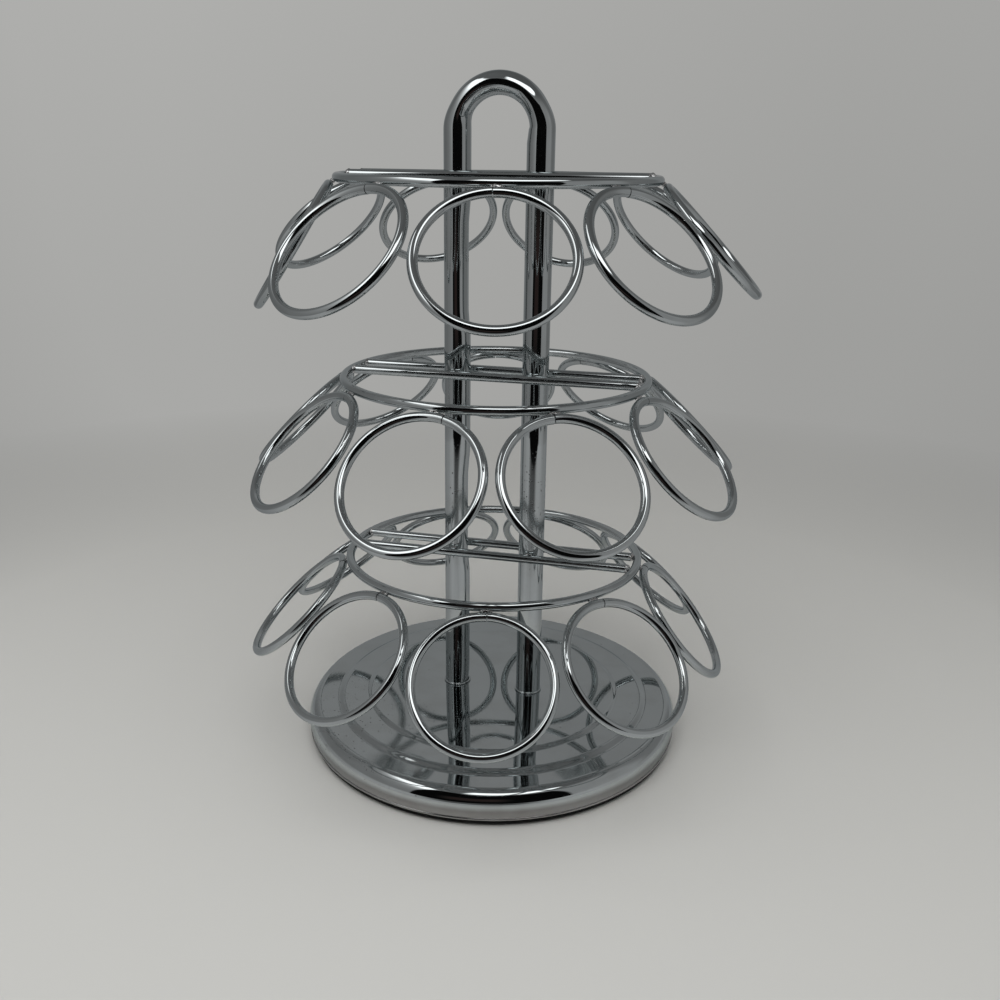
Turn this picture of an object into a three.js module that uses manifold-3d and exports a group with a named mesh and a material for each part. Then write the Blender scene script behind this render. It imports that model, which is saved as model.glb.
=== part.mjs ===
// Three-tier revolving coffee pod carousel, in millimetres, +Z up.
// The origin is on the surface the pads stand on, on the axis that the carousel turns about.
// The two posts stand on the X axis and the front of the object faces -Y.

import * as THREE from 'three';
import { mergeVertices } from 'three/addons/utils/BufferGeometryUtils.js';
import Module from 'manifold-3d';

const wasm = await Module();
wasm.setup();

// ---- Driving dimensions ----

const GAP = 0.3;                      // daylight left between pieces that touch or are welded

const WIRE_DIAMETER = 3.5;
const LOOP_INNER_DIAMETER = 48;       // takes a pod body of 46 to 47 mm, and holds its 51 mm rim
const LOOP_DOWN_ANGLE = 47;           // degrees that a loop hangs below the horizontal
const LOOP_BUTT_GAP = 0.6;            // between the two cut ends of the wire
const LOOP_COUNT = 9;                 // to a tier, evenly spaced
const WELD_ANGLE = 40;                // degrees below the horizontal from the ring wire to a loop's top

const RING_RADIUS = 60;               // to the middle of the wire
const CROSS_WIRE_RISE = 0.8;          // the cross wires sit slightly above the middle of the ring
const TIER_TILT_DIRECTION = 7;        // degrees from X to the line that a leaning tier tips about

// Each tier: its height, the turn of its first loop from the front, and how far it leans. Then, in
// order round from the first loop, the degrees that each loop is bent down past the common angle,
// and the degrees round each loop from its top to its open butt joint.
const TIERS = [
  {
    name: 'bottom', height: 79.2, turn: 11.4, lean: -1.7,
    bends: [-1, -1, 3.5, 3.5, 0, 0, -2, -3, -2],
    butts: [1, 7, 4, -5, 9, 3, -4, 6, -2],
  },
  {
    name: 'middle', height: 154.3, turn: 33, lean: 0,
    bends: [0, -1, 0, -1, 0, -1.5, 0, -1, 1.5],
    butts: [-2, 5, -6, 8, 3, -4, 10, 2, 12],
  },
  {
    name: 'top', height: 229.5, turn: 13.3, lean: 0.8,
    bends: [1.5, 1, -0.5, 0, 1, -1, -3, 10, 0],
    butts: [-3, 8, 5, -4, 11, 6, -2, 4, -7],
  },
];

const POST_SPACING = 32;              // centre to centre
const POST_DIAMETER = 10.5;
const POST_WALL = 1;
const BEND_FLATTENING = 0.82;         // radial thickness of the tube in its bend, as a share
const BEND_WIDENING = 1.06;           // width of the tube in its bend, as a share
const BEND_BLEND = 30;                // degrees of the bend over which the flattening sets in
const HANDLE_TOP = 267.1;

const BASE_RADIUS = 79.8;
const BASE_WIDEST_HEIGHT = 7.6;
const BASE_TOP = 14.1;                // of the lowest terrace, round the outside
const BASE_FLAT_RADIUS = 74.5;        // where the lowest terrace starts to roll over
const TERRACES = [                    // the raised ones, from the middle out
  { height: 16.5, radius: 53 },
  { height: 15.5, radius: 65.2 },
];
const TERRACE_STEP_WIDTH = 1.3;       // from the edge of a terrace to the foot of its step
const COVER_WALL = 0.8;
const COVER_BOTTOM = 2.7;
const BEAD_HEIGHT = 1.1;              // of the bead round the bottom of the skirt
const BEAD_PROUD = 0.3;
const SKIRT_DRAW_IN = 0.5;            // how much narrower the skirt is at the bead

const PAD_RADIUS = 7;
const PAD_HEIGHT = 1.7;
const PAD_CIRCLE = 64;                // radius that the four pads stand on
const PAD_PROUD = 1;                  // how far the pads hold the base plate off the table

const PLATE_FLANGE_RADIUS = 78.8;
const PLATE_FLANGE_TOP = 2.35;
const PLATE_FLOOR_TOP = 3;
const PLATE_RIM_RADIUS = 76;
const PLATE_RIM_WALL = 2;
const PLATE_RIM_TOP = 8;

const TURNTABLE_RADIUS = 70;
const TURNTABLE_THICKNESS = 2;
const SPACER_RADIUS = 26;

const BALL_RADIUS = 2;
const BALL_COUNT = 6;
const BALL_CIRCLE = 34;               // radius that the balls run on
const BALL_HEIGHT = 7.7;              // of the balls' middles
const RACE_HALF_WIDTH = 6;
const RACE_THICKNESS = 2;
const RACE_SETBACK = 1;               // from the balls' middles to the face of each race
const CAGE_HALF_WIDTH = 3.4;
const CAGE_THICKNESS = 1;
const CAGE_POCKET_RADIUS = 2.4;

const SCREW_RADIUS = 2.5;
const SCREW_HEAD_RADIUS = 4.6;
const SCREW_HEAD_HEIGHT = 3.2;
const SCREW_SOCKET_RADIUS = 2;
const SCREW_SOCKET_DEPTH = 1.6;
const SCREW_TOP = 26;
const INSERT_RADIUS = 3.8;
const INSERT_TOP = 29;

const PIN_RADIUS = 3;
const PIN_HEAD_RADIUS = 5.4;
const PIN_HEAD_THICKNESS = 0.8;
const PIN_BOTTOM = 1.6;
const PIN_NECK_RADIUS = 2.2;
const CLIP_RADIUS = 6;
const CLIP_THICKNESS = 0.6;
const CLIP_BOTTOM = 2.4;
const HUB_RADIUS = 8;
const HUB_BORE_RADIUS = 3.5;
const HUB_FILLET = 1;                 // the floor rises this much where it meets the hub
const HUB_TOP = 10;

const WIRE_SIDES = 6;
const LOOP_STEPS = 20;
const RING_SEGMENTS = 40;
const TUBE_SIDES = 14;
const BEND_STEPS = 12;
const BASE_SEGMENTS = 40;
const RACE_SEGMENTS = 24;
const SMALL_SEGMENTS = 16;

// ---- Sizes that follow from them ----

const wireRadius = WIRE_DIAMETER / 2;
const loopRadius = LOOP_INNER_DIAMETER / 2 + wireRadius;
const weldSpacing = WIRE_DIAMETER + GAP;
const postRadius = POST_DIAMETER / 2;
const bendRadius = POST_SPACING / 2;
const bendHeight = HANDLE_TOP - bendRadius - postRadius * BEND_FLATTENING;
const coverUnderside = BASE_TOP - COVER_WALL;
const turntableTop = coverUnderside - GAP;
const turntableBottom = turntableTop - TURNTABLE_THICKNESS;
const postSeat = TERRACES[0].height;
const holeTop = postSeat + 1;
const radians = THREE.MathUtils.degToRad;

// ---- Finishes ----

function finish(color, roughness, metalness) {
  return new THREE.MeshStandardMaterial({ color, roughness, metalness });
}

const chrome = () => finish(0xc9cccd, 0.08, 1);
const plainSteel = () => finish(0x8d9092, 0.35, 1);
const zincSteel = () => finish(0xa9a79c, 0.4, 1);
const ballSteel = () => finish(0xb9bbbd, 0.12, 1);
const blackPlastic = () => finish(0x141414, 0.55, 0);
const whitePlastic = () => finish(0xd9d7cf, 0.5, 0);
const blackRubber = () => finish(0x1b1b1b, 0.85, 0);

// ---- Geometry helpers ----

// A solid turned about Z from a profile of [radius, height] points. A profile that leaves the axis
// open at both ends closes along it, and any other profile closes on itself.
function turned(profile, segments) {
  const points = profile.map(([radius, height]) => new THREE.Vector2(radius, height));
  const touchesAxis = points[0].x === 0 && points.at(-1).x === 0;
  if (!touchesAxis) points.push(points[0].clone());
  if (THREE.ShapeUtils.area(points) < 0) points.reverse();
  return new THREE.LatheGeometry(points, segments).rotateX(Math.PI / 2);
}

function disc(radius, bottom, top, segments) {
  return turned([[0, bottom], [radius, bottom], [radius, top], [0, top]], segments);
}

function washer(inner, outer, bottom, top, segments) {
  return turned([[inner, bottom], [outer, bottom], [outer, top], [inner, top]], segments);
}

// Points round an arc or an ellipse, from one angle to another, in degrees.
function arc(centreX, centreY, radiusX, radiusY, from, to, steps) {
  return Array.from({ length: steps + 1 }, (_, step) => {
    const angle = radians(from + ((to - from) * step) / steps);
    return [centreX + radiusX * Math.cos(angle), centreY + radiusY * Math.sin(angle)];
  });
}

function polygon(radius, sides) {
  return arc(0, 0, radius, radius, 0, 360, sides).slice(0, sides).map(([x, y]) => new THREE.Vector2(x, y));
}

function toManifold(geometry) {
  const bare = geometry.clone();
  bare.deleteAttribute('normal');
  bare.deleteAttribute('uv');
  const merged = mergeVertices(bare, 1e-4);
  return new wasm.Manifold(new wasm.Mesh({
    numProp: 3,
    vertProperties: new Float32Array(merged.attributes.position.array),
    triVerts: new Uint32Array(merged.index.array),
  }));
}

function fromManifold(solid) {
  const mesh = solid.getMesh();
  const geometry = new THREE.BufferGeometry();
  geometry.setAttribute('position', new THREE.BufferAttribute(mesh.vertProperties, 3));
  geometry.setIndex(new THREE.BufferAttribute(mesh.triVerts, 1));
  geometry.computeVertexNormals();
  return geometry;
}

// A geometry with upright round holes or pockets cut in it, each { x, y, radius, bottom, top }.
function drilled(geometry, holes) {
  let solid = toManifold(geometry);
  for (const { x, y, radius, bottom, top } of holes) {
    const tool = disc(radius, bottom, top, SMALL_SEGMENTS).translate(x, y, 0);
    solid = solid.subtract(toManifold(tool));
  }
  return fromManifold(solid);
}

const carousel = new THREE.Group();

function add(name, geometry, material, parent = carousel) {
  const mesh = new THREE.Mesh(geometry, material);
  mesh.name = name;
  parent.add(mesh);
  return mesh;
}

// ---- Wire work ----

// One pod loop's middle line: a circle in the XZ plane that starts and ends at the butt joint. Its top
// is at the origin and it hangs along -Z.
class LoopPath extends THREE.Curve {
  constructor(buttAngle) {
    super();
    this.buttAngle = radians(buttAngle);
  }

  getPoint(t, target = new THREE.Vector3()) {
    const halfGap = LOOP_BUTT_GAP / 2 / loopRadius;
    const start = this.buttAngle + halfGap;
    const angle = start + t * (2 * Math.PI - 2 * halfGap);
    return target.set(loopRadius * Math.sin(angle), 0, loopRadius * (Math.cos(angle) - 1));
  }
}

function podLoop(buttAngle) {
  const section = new THREE.Shape(polygon(wireRadius, WIRE_SIDES));
  const options = { steps: LOOP_STEPS, extrudePath: new LoopPath(buttAngle), bevelEnabled: false };
  return new THREE.ExtrudeGeometry(section, options);
}

function tierRing() {
  const section = arc(RING_RADIUS, 0, wireRadius, wireRadius, 0, 360, WIRE_SIDES).slice(0, WIRE_SIDES);
  return turned(section, RING_SEGMENTS);
}

function crossWire() {
  const offset = postRadius + wireRadius + GAP;
  const reach = RING_RADIUS - wireRadius - GAP;
  const sagitta = RING_RADIUS * (1 - Math.cos(Math.PI / RING_SEGMENTS));
  const halfLength = Math.sqrt(reach ** 2 - (offset + wireRadius) ** 2) - sagitta;
  return new THREE.CylinderGeometry(wireRadius, wireRadius, 2 * halfLength, SMALL_SEGMENTS / 2)
    .rotateZ(Math.PI / 2)
    .translate(0, offset, CROSS_WIRE_RISE);
}

// A loop's place on its ring: turned about Z from the front, stood off the ring by the weld, and
// bent down from the vertical plane to its own angle.
function placeLoop(mesh, turn, downAngle) {
  const out = RING_RADIUS + weldSpacing * Math.cos(radians(WELD_ANGLE));
  const drop = weldSpacing * Math.sin(radians(WELD_ANGLE));
  mesh.rotation.set(-radians(90 - downAngle), 0, 0);
  mesh.position.set(0, -out, -drop);
  const spoke = new THREE.Group();
  spoke.rotation.z = radians(turn);
  spoke.add(mesh);
  return spoke;
}

function buildTier({ name, height, turn, lean, bends, butts }) {
  const tier = new THREE.Group();
  const tipLine = radians(TIER_TILT_DIRECTION);
  const axis = new THREE.Vector3(Math.cos(tipLine), Math.sin(tipLine), 0);
  tier.quaternion.setFromAxisAngle(axis, radians(lean));
  tier.position.z = height;
  add(`tier_ring_${name}`, tierRing(), chrome(), tier);
  add(`cross_wire_${name}_back`, crossWire(), chrome(), tier);
  add(`cross_wire_${name}_front`, crossWire(), chrome(), tier).rotation.z = Math.PI;
  for (let index = 0; index < LOOP_COUNT; index += 1) {
    const loop = add(`pod_loop_${name}_${index + 1}`, podLoop(butts[index]), chrome(), tier);
    const loopTurn = turn + (index * 360) / LOOP_COUNT;
    tier.add(placeLoop(loop, loopTurn, LOOP_DOWN_ANGLE + bends[index]));
  }
  carousel.add(tier);
}

// ---- Posts and handle ----

// The middle line of the tube: up one post, over the bend and down the other. The steps along it
// are shared out by the bend, with one step to each straight post.
class HandlePath extends THREE.Curve {
  getPoint(t, target = new THREE.Vector3()) {
    const step = t * (BEND_STEPS + 2);
    const foot = postSeat + GAP;
    if (step <= 1) return target.set(-bendRadius, 0, foot + (bendHeight - foot) * step);
    if (step >= BEND_STEPS + 1) {
      const down = step - BEND_STEPS - 1;
      return target.set(bendRadius, 0, bendHeight + (foot - bendHeight) * down);
    }
    const angle = Math.PI * (1 - (step - 1) / BEND_STEPS);
    return target.set(bendRadius * Math.cos(angle), 0, bendHeight + bendRadius * Math.sin(angle));
  }

  getPointAt(u, target) {
    return this.getPoint(u, target);
  }

  getTangentAt(u, target) {
    return this.getTangent(u, target);
  }
}

// Squeezes the tube towards its middle line in the bend, as bending a tube does.
function flattenBend(geometry) {
  const position = geometry.attributes.position;
  for (let index = 0; index < position.count; index += 1) {
    const x = position.getX(index);
    const rise = position.getZ(index) - bendHeight;
    if (rise <= 0) continue;
    const radius = Math.hypot(x, rise);
    const share = Math.min(1, rise / radius / Math.sin(radians(BEND_BLEND)));
    const squeeze = 1 + (BEND_FLATTENING - 1) * share;
    const newRadius = bendRadius + (radius - bendRadius) * squeeze;
    const widened = position.getY(index) * (1 + (BEND_WIDENING - 1) * share);
    position.setXYZ(index, (x * newRadius) / radius, widened, bendHeight + (rise * newRadius) / radius);
  }
  return geometry;
}

function postHandle() {
  const section = new THREE.Shape(polygon(postRadius, TUBE_SIDES));
  section.holes.push(new THREE.Path(polygon(postRadius - POST_WALL, TUBE_SIDES)));
  const steps = BEND_STEPS + 2;
  const options = { steps, extrudePath: new HandlePath(), bevelEnabled: false };
  return flattenBend(new THREE.ExtrudeGeometry(section, options));
}

function postInsert() {
  return washer(SCREW_RADIUS + GAP, INSERT_RADIUS, postSeat + GAP, INSERT_TOP, SMALL_SEGMENTS);
}

function postScrew() {
  const headTop = turntableBottom - GAP;
  const headBottom = headTop - SCREW_HEAD_HEIGHT;
  const socketTop = headBottom + SCREW_SOCKET_DEPTH;
  return turned([
    [0, socketTop], [SCREW_SOCKET_RADIUS, socketTop], [SCREW_SOCKET_RADIUS, headBottom],
    [SCREW_HEAD_RADIUS, headBottom], [SCREW_HEAD_RADIUS, headTop], [SCREW_RADIUS, headTop],
    [SCREW_RADIUS, SCREW_TOP], [0, SCREW_TOP],
  ], SMALL_SEGMENTS);
}

// ---- Base ----

const screwHoles = [-1, 1].map((side) => ({
  x: (side * POST_SPACING) / 2,
  y: 0,
  radius: SCREW_RADIUS + GAP,
  bottom: turntableBottom - 1,
  top: holeTop,
}));

// The terraces' edges and the feet of their steps, as they are on the cover's upper side.
function terraceSteps() {
  const heights = TERRACES.map(({ height }) => height);
  return TERRACES.flatMap(({ height, radius }, index) => (
    [[radius, height], [radius + TERRACE_STEP_WIDTH, heights[index + 1] ?? BASE_TOP]]));
}

// The pressed dish: three flat terraces, a rolled shoulder, and a skirt that draws in a little and
// ends in a bead.
function baseCover() {
  const shoulderWidth = BASE_RADIUS - BASE_FLAT_RADIUS;
  const shoulderHeight = BASE_TOP - BASE_WIDEST_HEIGHT;
  const skirtRadius = BASE_RADIUS - SKIRT_DRAW_IN;
  const outside = arc(BASE_FLAT_RADIUS, BASE_WIDEST_HEIGHT, shoulderWidth, shoulderHeight, 90, 0, 5);
  const bead = [
    [skirtRadius, COVER_BOTTOM + BEAD_HEIGHT],
    [skirtRadius + BEAD_PROUD, COVER_BOTTOM + BEAD_HEIGHT / 2],
    [skirtRadius, COVER_BOTTOM],
  ];
  const inside = arc(BASE_FLAT_RADIUS, BASE_WIDEST_HEIGHT, shoulderWidth - COVER_WALL,
    shoulderHeight - COVER_WALL, 0, 90, 4);
  const steps = terraceSteps();
  const stepsBelow = steps.map(([radius, height]) => [radius, height - COVER_WALL]).reverse();
  const profile = [
    [0, postSeat], ...steps, ...outside, ...bead, [skirtRadius - COVER_WALL, COVER_BOTTOM], ...inside,
    ...stepsBelow, [0, postSeat - COVER_WALL],
  ];
  return drilled(turned(profile, BASE_SEGMENTS), screwHoles);
}

function turntablePlate() {
  const bore = PIN_RADIUS + GAP;
  const pocket = PIN_HEAD_RADIUS + 2 * GAP;
  const pocketFloor = turntableTop - PIN_HEAD_THICKNESS - GAP;
  const profile = [
    [bore, turntableBottom], [TURNTABLE_RADIUS, turntableBottom], [TURNTABLE_RADIUS, turntableTop],
    [pocket, turntableTop], [pocket, pocketFloor], [bore, pocketFloor],
  ];
  return drilled(turned(profile, BASE_SEGMENTS), screwHoles);
}

// Fills the hollow under the middle terrace round the screws, so that they can clamp the cover.
function spacerPlate() {
  const top = postSeat - COVER_WALL - GAP;
  return drilled(disc(SPACER_RADIUS, turntableTop + GAP, top, BASE_SEGMENTS), screwHoles);
}

// A bearing ring with a groove for the balls in the face towards them. side is 1 for the ring
// above the balls and -1 for the one below.
function race(side) {
  const face = BALL_HEIGHT + side * RACE_SETBACK;
  const back = face + side * RACE_THICKNESS;
  const grooveRadius = BALL_RADIUS + GAP;
  const rim = (Math.asin(RACE_SETBACK / grooveRadius) * 180) / Math.PI;
  const groove = arc(BALL_CIRCLE, BALL_HEIGHT, grooveRadius, side * grooveRadius, 180 - rim, rim, 4);
  return turned([
    [BALL_CIRCLE - RACE_HALF_WIDTH, back], [BALL_CIRCLE - RACE_HALF_WIDTH, face], ...groove,
    [BALL_CIRCLE + RACE_HALF_WIDTH, face], [BALL_CIRCLE + RACE_HALF_WIDTH, back],
  ], RACE_SEGMENTS);
}

function ballPlaces() {
  return Array.from({ length: BALL_COUNT }, (_, index) => {
    const angle = (index * 2 * Math.PI) / BALL_COUNT;
    return { x: BALL_CIRCLE * Math.cos(angle), y: BALL_CIRCLE * Math.sin(angle) };
  });
}

function ballCage() {
  const bottom = BALL_HEIGHT - CAGE_THICKNESS / 2;
  const top = bottom + CAGE_THICKNESS;
  const inner = BALL_CIRCLE - CAGE_HALF_WIDTH;
  const outer = BALL_CIRCLE + CAGE_HALF_WIDTH;
  const ring = washer(inner, outer, bottom, top, RACE_SEGMENTS);
  const pockets = ballPlaces().map((place) => (
    { ...place, radius: CAGE_POCKET_RADIUS, bottom: bottom - 1, top: top + 1 }));
  return drilled(ring, pockets);
}

function pivotPin() {
  const headTop = turntableTop;
  const headBottom = headTop - PIN_HEAD_THICKNESS;
  const neckBottom = CLIP_BOTTOM - GAP;
  const neckTop = CLIP_BOTTOM + CLIP_THICKNESS + GAP;
  return turned([
    [0, PIN_BOTTOM], [PIN_RADIUS, PIN_BOTTOM], [PIN_RADIUS, neckBottom], [PIN_NECK_RADIUS, neckBottom],
    [PIN_NECK_RADIUS, neckTop], [PIN_RADIUS, neckTop], [PIN_RADIUS, headBottom],
    [PIN_HEAD_RADIUS, headBottom], [PIN_HEAD_RADIUS, headTop], [0, headTop],
  ], SMALL_SEGMENTS);
}

function pivotClip() {
  const clipTop = CLIP_BOTTOM + CLIP_THICKNESS;
  return washer(PIN_NECK_RADIUS + GAP, CLIP_RADIUS, CLIP_BOTTOM, clipTop, SMALL_SEGMENTS);
}

function padPlaces() {
  return Array.from({ length: 4 }, (_, index) => {
    const angle = radians(45 + index * 90);
    return { x: PAD_CIRCLE * Math.cos(angle), y: PAD_CIRCLE * Math.sin(angle) };
  });
}

// The black bottom: a flange under the cover's bead, a locating rim inside its skirt, a raised
// seat for the bearing, a hub for the pin with room under it for the clip, and the pads' pockets.
function basePlate() {
  const seatTop = BALL_HEIGHT - RACE_SETBACK - RACE_THICKNESS - GAP;
  const seatInner = BALL_CIRCLE - RACE_HALF_WIDTH;
  const seatOuter = BALL_CIRCLE + RACE_HALF_WIDTH;
  const clipRoom = CLIP_RADIUS + 2 * GAP;
  const clipRoof = CLIP_BOTTOM + CLIP_THICKNESS + GAP;
  const rimInner = PLATE_RIM_RADIUS - PLATE_RIM_WALL;
  const profile = [
    [clipRoom, PAD_PROUD], [PLATE_FLANGE_RADIUS, PAD_PROUD], [PLATE_FLANGE_RADIUS, PLATE_FLANGE_TOP],
    [PLATE_RIM_RADIUS, PLATE_FLANGE_TOP], [PLATE_RIM_RADIUS, PLATE_RIM_TOP], [rimInner, PLATE_RIM_TOP],
    [rimInner, PLATE_FLOOR_TOP], [seatOuter, PLATE_FLOOR_TOP], [seatOuter, seatTop],
    [seatInner, seatTop], [seatInner, PLATE_FLOOR_TOP], [HUB_RADIUS, PLATE_FLOOR_TOP + HUB_FILLET],
    [HUB_RADIUS, HUB_TOP], [HUB_BORE_RADIUS, HUB_TOP], [HUB_BORE_RADIUS, clipRoof],
    [clipRoom, clipRoof],
  ];
  const pockets = padPlaces().map((place) => (
    { ...place, radius: PAD_RADIUS + GAP, bottom: 0, top: PAD_HEIGHT + GAP }));
  return drilled(turned(profile, BASE_SEGMENTS), pockets);
}

// ---- The assembly ----

TIERS.forEach(buildTier);

add('post_handle', postHandle(), chrome());
[['left', -1], ['right', 1]].forEach(([side, sign]) => {
  add(`post_insert_${side}`, postInsert(), zincSteel()).position.x = sign * bendRadius;
  add(`post_screw_${side}`, postScrew(), zincSteel()).position.x = sign * bendRadius;
});

add('base_cover', baseCover(), chrome());
add('spacer_plate', spacerPlate(), plainSteel());
add('turntable_plate', turntablePlate(), plainSteel());
add('upper_race', race(1), zincSteel());
add('lower_race', race(-1), zincSteel());
add('ball_cage', ballCage(), whitePlastic());
ballPlaces().forEach(({ x, y }, index) => {
  add(`ball_${index + 1}`, new THREE.IcosahedronGeometry(BALL_RADIUS, 1), ballSteel())
    .position.set(x, y, BALL_HEIGHT);
});
add('pivot_pin', pivotPin(), zincSteel());
add('pivot_clip', pivotClip(), plainSteel());

add('base_plate', basePlate(), blackPlastic());
padPlaces().forEach(({ x, y }, index) => {
  add(`foot_pad_${index + 1}`, disc(PAD_RADIUS, 0, PAD_HEIGHT, SMALL_SEGMENTS), blackRubber())
    .position.set(x, y, 0);
});

export default carousel;
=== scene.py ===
"""Looks for the three-tier coffee pod carousel: chromed wire, a bent tube handle and a turning base.

Everything is in metres in the CAD's own frame. Z is up, the front faces -Y and the carousel turns
about the Z axis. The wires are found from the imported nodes, so they stay where the CAD puts them.
"""

import math
import random

import bmesh
import bpy
import numpy as np
from mathutils import Matrix, Vector, noise


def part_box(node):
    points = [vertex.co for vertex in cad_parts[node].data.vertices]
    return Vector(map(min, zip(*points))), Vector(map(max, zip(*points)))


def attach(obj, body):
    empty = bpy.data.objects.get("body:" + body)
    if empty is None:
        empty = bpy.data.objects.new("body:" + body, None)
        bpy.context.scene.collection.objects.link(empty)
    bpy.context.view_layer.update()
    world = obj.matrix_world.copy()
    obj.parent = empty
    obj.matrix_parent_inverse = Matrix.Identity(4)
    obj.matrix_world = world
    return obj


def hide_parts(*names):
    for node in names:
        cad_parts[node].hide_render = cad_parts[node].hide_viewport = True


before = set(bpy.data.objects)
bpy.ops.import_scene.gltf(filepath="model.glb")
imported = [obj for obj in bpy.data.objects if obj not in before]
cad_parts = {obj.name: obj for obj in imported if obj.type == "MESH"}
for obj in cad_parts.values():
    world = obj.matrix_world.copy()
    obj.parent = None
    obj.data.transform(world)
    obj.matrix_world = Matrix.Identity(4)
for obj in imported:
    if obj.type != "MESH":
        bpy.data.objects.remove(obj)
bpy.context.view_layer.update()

MM = 0.001

# ---- Driving dimensions, in metres ----

WIRE_RADIUS = 1.75 * MM
WIRE_SIDES = 24
CUT_EDGE = 0.18 * MM  # the edge that cutting leaves on the end of a wire
BUTT_GAP = 0.3 * MM
BUTT_DEPTH = 1.1 * MM
BUTT_EDGE = 0.04 * MM
BUTT_STEP = 0.16 * MM  # how far the two cut ends of a loop miss each other
BUTT_REACH = 0.22  # radians round a loop over which its ends are bent out of line
LOOP_STEPS = 132
RING_STEPS = 264
CROSS_WIRE_STEPS = 60
OUT_OF_ROUND = 0.06 * MM
LOOP_DRAW_IN = 0.21 * MM  # how much tighter a loop is bent than its nominal circle

LOOP_WELD = (2.3 * MM, 0.95 * MM, 1.0 * MM)  # half-axes: along the ring, across it, towards it
END_WELD = (1.5 * MM, 1.85 * MM, 1.75 * MM)  # along the cross wire, sideways and up
POST_WELD = (1.9 * MM, 0.75 * MM, 1.5 * MM)  # along X, Y and Z
END_WELD_INSET = 0.2 * MM
POST_WELD_OFFSET = 0.15 * MM  # from the side of the cross wire towards the post

POST_X = 16 * MM
POST_RADIUS = 5.25 * MM
POST_WALL = 1 * MM
BEND_FLATTENING = 0.82
BEND_WIDENING = 1.06
TUBE_SIDES = 72
BEND_STEPS = 120
POST_STEPS = 48
POST_SEAT_RADIUS = 0.42 * MM  # of the rolled ring round a post's foot, across the roll
POST_SEAT_OUT = 0.1 * MM
POST_SEAT_LIFT = 0.43 * MM

COVER_FLAT_RADIUS = 74.5 * MM
COVER_STEPS = (  # where a rounded step down starts and ends, and the terrace that it leads to
    (52.2 * MM, 55.1 * MM, 15.5 * MM),
    (63.9 * MM, 67.9 * MM, 14.1 * MM),
)
COVER_STEP_ROWS = 14
COVER_WIDEST_HEIGHT = 7.6 * MM
COVER_WALL = 0.8 * MM
BEAD_RADIUS = 0.55 * MM
BEAD_PROUD = 0.3 * MM
SKIRT_DRAW_IN = 0.5 * MM
SCREW_HOLE_RADIUS = 2.8 * MM
BASE_SEGMENTS = 288

PLATE_EDGE = 0.4 * MM
PLATE_FLANGE = 1.35 * MM
PLATE_FLOOR = 3 * MM  # height of its inside face
PLATE_RIM = (74 * MM, 76 * MM, 8 * MM)  # inner radius, outer radius and top
RACE_SEAT = (28 * MM, 40 * MM, 4.4 * MM)
HUB_RADIUS = 8 * MM
HUB_BORE = 3.5 * MM
HUB_FILLET = 1 * MM
RIM_CHAMFER = 0.3 * MM

PAD_EDGE = 0.5 * MM
PAD_DISH = 0.25 * MM
PAD_MIDDLE = 0.6 * MM  # radius of the small flat middle of a pad's face
PAD_POCKET_RADIUS = 7.3 * MM
PAD_POCKET_TOP = 2 * MM
CLIP_ROOM_RADIUS = 6.6 * MM
CLIP_ROOM_TOP = 3.3 * MM

TIERS = ("bottom", "middle", "top")
LOOPS = range(1, 10)


# ---- Mesh helpers ----


def node_points(name):
    """A CAD node's vertices as an array."""
    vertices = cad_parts[name].data.vertices
    points = np.empty(len(vertices) * 3)
    vertices.foreach_get("co", points)
    return points.reshape(-1, 3)


def main_directions(points):
    """The middle of some points, and their three main directions, longest first."""
    middle = points.mean(axis=0)
    directions = np.linalg.svd(points - middle, full_matrices=False)[2]
    return middle, directions


def fitted_circle(points):
    """Centre, unit normal and radius of the circle that a piece of wire is bent round."""
    middle, (across, _, normal) = main_directions(points)
    along = np.cross(normal, across)
    flat = (points - middle) @ np.stack((across, along), axis=1)
    terms = np.column_stack((2 * flat, np.ones(len(flat))))
    u, v, _ = np.linalg.lstsq(terms, (flat**2).sum(axis=1), rcond=None)[0]
    reach = np.linalg.norm(flat - (u, v), axis=1)
    centre = Vector(middle + u * across + v * along)
    radius = float(reach.max() + reach.min()) / 2
    return centre, Vector(normal * np.sign(normal[2])), radius


def finished_piece(bm, name, material, body, replaced=()):
    """Turns a bmesh into a smooth-shaded piece that rides on a body and stands for CAD nodes."""
    bmesh.ops.recalc_face_normals(bm, faces=bm.faces)
    mesh = bpy.data.meshes.new(name)
    bm.to_mesh(mesh)
    bm.free()
    mesh.shade_smooth()
    mesh.set_sharp_from_angle(angle=math.radians(38))
    piece = bpy.data.objects.new(name, mesh)
    bpy.context.scene.collection.objects.link(piece)
    mesh.materials.append(material)
    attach(piece, body)
    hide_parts(*replaced)
    return piece


def add_skin(bm, rings, joined=False):
    """Faces through rings of points. The last ring joins the first, or both ends are capped."""
    rows = [[bm.verts.new(point) for point in ring] for ring in rings]
    following = rows[1:] + rows[:1] if joined else rows[1:]
    for low, high in zip(rows, following):
        for corners in zip(low, low[1:] + low[:1], high[1:] + high[:1], high):
            bm.faces.new(corners)
    if not joined:
        bm.faces.new(rows[0])
        bm.faces.new(rows[-1])


def section(middle, outward, sideways, radius, sides=WIRE_SIDES):
    """A round section of a wire."""
    angles = [math.tau * side / sides for side in range(sides)]
    return [middle + radius * (math.cos(a) * outward + math.sin(a) * sideways) for a in angles]


def turned_rows(bm, profile, segments):
    """The rows of vertices made by turning a profile of (radius, height) about Z."""
    rows = []
    for radius, height in profile:
        angles = [math.tau * step / segments for step in range(segments)]
        rows.append([bm.verts.new((radius * math.cos(a), radius * math.sin(a), height)) for a in angles])
    return rows


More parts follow.
